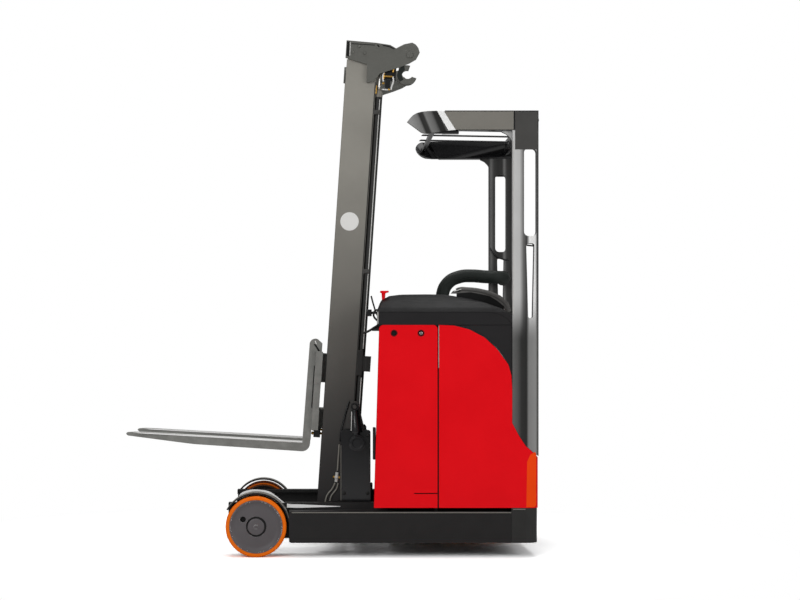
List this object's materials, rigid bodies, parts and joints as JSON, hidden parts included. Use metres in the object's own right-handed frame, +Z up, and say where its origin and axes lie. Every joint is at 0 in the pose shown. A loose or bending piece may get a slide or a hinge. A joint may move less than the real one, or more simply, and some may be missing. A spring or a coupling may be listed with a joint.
{
  "type": "reach truck",
  "caption": "Compact battery reach truck: tilting telescopic mast that slides forward on rollers, raised forks, red side panels, overhead guard and a steered drive wheel.",
  "frame": {"origin": "on the floor, below the middle of the whole truck's bounding box at rest", "axes": "+Z up; the forks point to -X; the truck's left side, which the picture shows, is at -Y"},
  "size_m": [2.0571, 1.14, 2.5761],
  "materials": {
    "red_paint": "semi-gloss red paint",
    "black_frame": "satin charcoal paint",
    "black_plastic": "fine-grained moulded plastic",
    "grey_trim": "satin grey edge moulding",
    "mast_steel": "satin grey paint on rolled steel",
    "chrome_rod": "polished rod",
    "tyre_orange": "smooth cast polyurethane",
    "wheel_grey": "machined and painted disc",
    "fork_steel": "black painted forged steel, worn",
    "battery_grey": "dark coated battery tray",
    "soft_black": "soft padded skin",
    "chain_steel": "oiled leaf chain"
  },
  "bodies": {
    "root": {"leg_left": "black_frame", "leg_right": "black_frame", "base_frame": "black_frame", "battery_block": "battery_grey", "bulkhead_front": "black_frame", "bulkhead_rear": "black_frame", "battery_cover_left": "red_paint", "battery_cover_right": "red_paint", "side_panel_left": "red_paint", "side_panel_right": "red_paint", "corner_trim_left": "black_plastic", "corner_trim_right": "black_plastic", "hood": "black_plastic", "cowl_rim": "grey_trim", "backrest_hoop": "soft_black", "platform": "black_frame", "seat_base": "black_plastic", "seat_pad": "soft_black", "dash_console": "black_plastic", "steering_column": "black_plastic", "guard_post_left": "black_frame", "guard_post_right": "black_frame", "roof_frame": "black_frame", "reach_barrel": "black_frame"},
    "load_wheel_left": {"load_tyre_left": "tyre_orange", "load_hub_left": "wheel_grey"},
    "load_wheel_right": {"load_tyre_right": "tyre_orange", "load_hub_right": "wheel_grey"},
    "drive_unit": {"drive_yoke": "black_frame"},
    "drive_wheel": {"drive_wheel": "tyre_orange"},
    "steering_wheel": {"steering_wheel": "soft_black"},
    "reach_carriage": {"carriage_frame": "black_frame", "reach_rod": "chrome_rod"},
    "tilt_barrel_left": {"tilt_barrel_left": "black_frame"},
    "tilt_barrel_right": {"tilt_barrel_right": "black_frame"},
    "tilt_rod_left": {"tilt_rod_left": "chrome_rod"},
    "tilt_rod_right": {"tilt_rod_right": "chrome_rod"},
    "outer_mast": {"outer_channel_left": "mast_steel", "outer_channel_right": "mast_steel", "lift_barrel_left": "black_frame", "lift_barrel_right": "black_frame", "outer_crossbar_low": "mast_steel", "outer_crossbar_middle": "mast_steel", "outer_crossbar_high": "mast_steel"},
    "inner_mast": {"inner_channel_left": "mast_steel", "inner_channel_right": "mast_steel", "inner_crosshead": "mast_steel", "crown_plate_left": "mast_steel", "crown_plate_right": "mast_steel", "lift_rod_left": "chrome_rod", "lift_rod_right": "chrome_rod", "free_lift_cylinder": "black_frame"},
    "free_lift_head": {"free_lift_rod": "chrome_rod", "lift_chain_left": "chain_steel", "lift_chain_right": "chain_steel"},
    "fork_carriage": {"fork_carriage": "fork_steel", "fork_left": "fork_steel", "fork_right": "fork_steel"}
  },
  "joints": [
    {"name": "load_wheel_left_roll", "type": "hinge", "parent": "root", "child": "load_wheel_left", "pos_m": [-0.355, -0.525, 0.15], "axis": [0, 1, 0], "continuous": true},
    {"name": "load_wheel_right_roll", "type": "hinge", "parent": "root", "child": "load_wheel_right", "pos_m": [-0.355, 0.525, 0.15], "axis": [0, 1, 0], "continuous": true},
    {"name": "drive_steer", "type": "hinge", "parent": "root", "child": "drive_unit", "pos_m": [0.78, 0.12, 0.32], "axis": [0, 0, 1], "range_deg": [-90, 90]},
    {"name": "drive_roll", "type": "hinge", "parent": "drive_unit", "child": "drive_wheel", "pos_m": [0.78, 0.12, 0.14], "axis": [0, 1, 0], "continuous": true},
    {"name": "steering_wheel_turn", "type": "hinge", "parent": "root", "child": "steering_wheel", "pos_m": [0.725, -0.245, 1.13], "axis": [0.1952, 0.0976, 0.9759], "continuous": true},
    {"name": "mast_reach", "type": "slide", "parent": "root", "child": "reach_carriage", "axis": [-1, 0, 0], "range_m": [0, 0.42]},
    {"name": "mast_tilt", "type": "hinge", "parent": "reach_carriage", "child": "outer_mast", "pos_m": [0, 0, 0.2], "axis": [0, -1, 0], "range_deg": [0, 5.8]},
    {"name": "tilt_barrel_left_swing", "type": "hinge", "parent": "reach_carriage", "child": "tilt_barrel_left", "pos_m": [0.146, -0.395, 0.553], "axis": [0, -1, 0], "range_deg": [0, 15.3]},
    {"name": "tilt_barrel_right_swing", "type": "hinge", "parent": "reach_carriage", "child": "tilt_barrel_right", "pos_m": [0.146, 0.395, 0.553], "axis": [0, -1, 0], "range_deg": [0, 15.3]},
    {"name": "tilt_rod_left_slide", "type": "slide", "parent": "tilt_barrel_left", "child": "tilt_rod_left", "axis": [-0.0767, 0, 0.9971], "range_m": [0, 0.0221]},
    {"name": "tilt_rod_right_slide", "type": "slide", "parent": "tilt_barrel_right", "child": "tilt_rod_right", "axis": [-0.0767, 0, 0.9971], "range_m": [0, 0.0221]},
    {"name": "inner_mast_lift", "type": "slide", "parent": "outer_mast", "child": "inner_mast", "axis": [0.0663, 0, 0.9978], "range_m": [0, 1.85]},
    {"name": "fork_lift", "type": "slide", "parent": "inner_mast", "child": "fork_carriage", "axis": [0.0663, 0, 0.9978], "range_m": [-0.44, 1.35]},
    {"name": "free_lift_slide", "type": "slide", "parent": "inner_mast", "child": "free_lift_head", "axis": [0.0663, 0, 0.9978], "range_m": [-0.22, 0.675]}
  ],
  "couplings": [
    {"joint": "tilt_barrel_left_swing", "follows": "mast_tilt", "ratio": 2.628},
    {"joint": "tilt_barrel_right_swing", "follows": "mast_tilt", "ratio": 2.628},
    {"joint": "tilt_rod_left_slide", "follows": "mast_tilt", "m_per_rad": 0.2169},
    {"joint": "tilt_rod_right_slide", "follows": "mast_tilt", "m_per_rad": 0.2169},
    {"joint": "free_lift_slide", "follows": "fork_lift", "ratio": 0.5}
  ]
}
